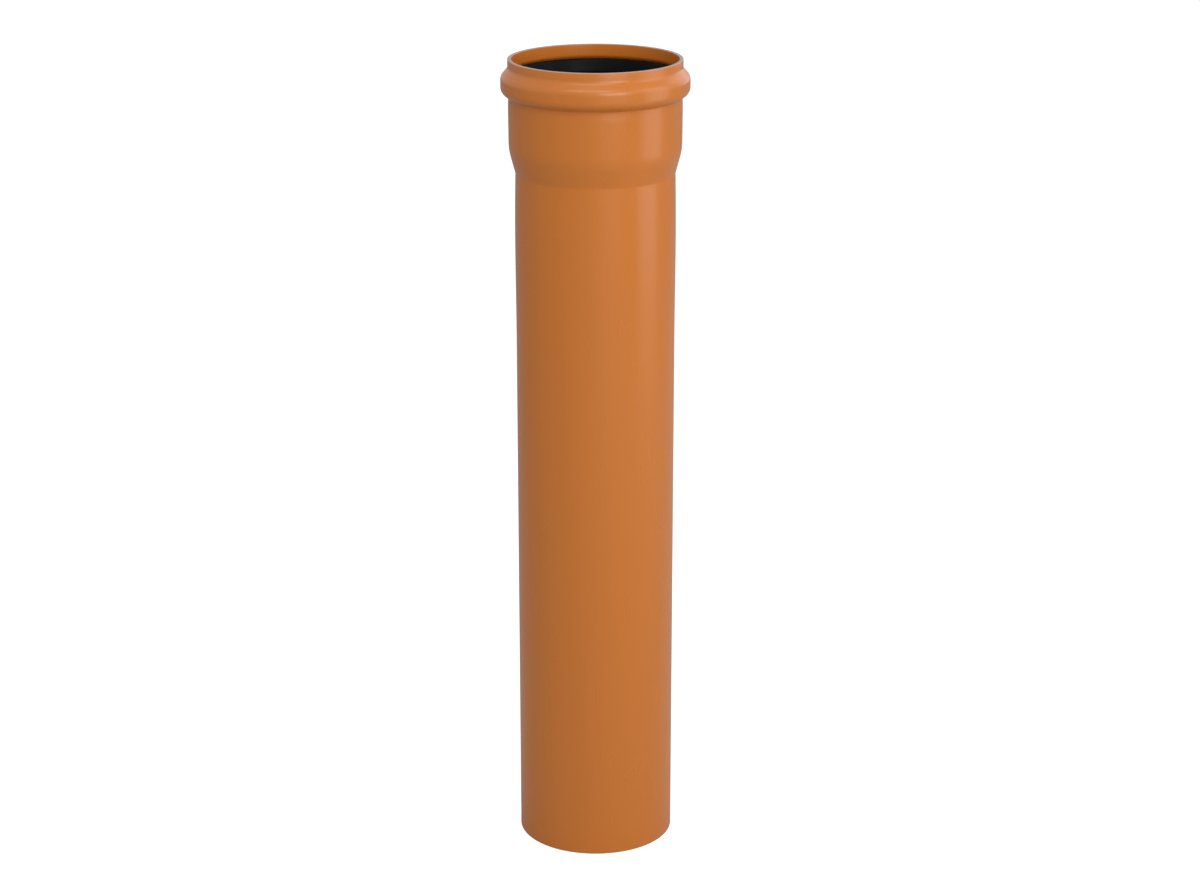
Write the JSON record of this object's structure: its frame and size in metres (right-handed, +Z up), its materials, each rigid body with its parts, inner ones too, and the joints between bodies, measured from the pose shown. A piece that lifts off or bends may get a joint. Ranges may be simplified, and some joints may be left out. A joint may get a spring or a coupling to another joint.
{
  "type": "pvc sewer pipe",
  "caption": "Straight rigid plastic sewer pipe standing on its plain end, with a formed ring-seal socket and a black rubber seal at the top.",
  "frame": {"origin": "centre of the cut spigot end, at the bottom of the standing pipe", "axes": "+Z up along the pipe's axis, towards the socket; the pipe is the same all round, so X and Y are free"},
  "size_m": [0.1288, 0.1286, 0.566],
  "materials": {
    "pvc": "orange-brown extruded PVC-U, smooth satin sheen",
    "seal_rubber": "black moulded rubber, slightly greasy satin"
  },
  "bodies": {
    "root": {"pipe": "pvc", "seal_ring": "seal_rubber"}
  },
  "joints": []
}
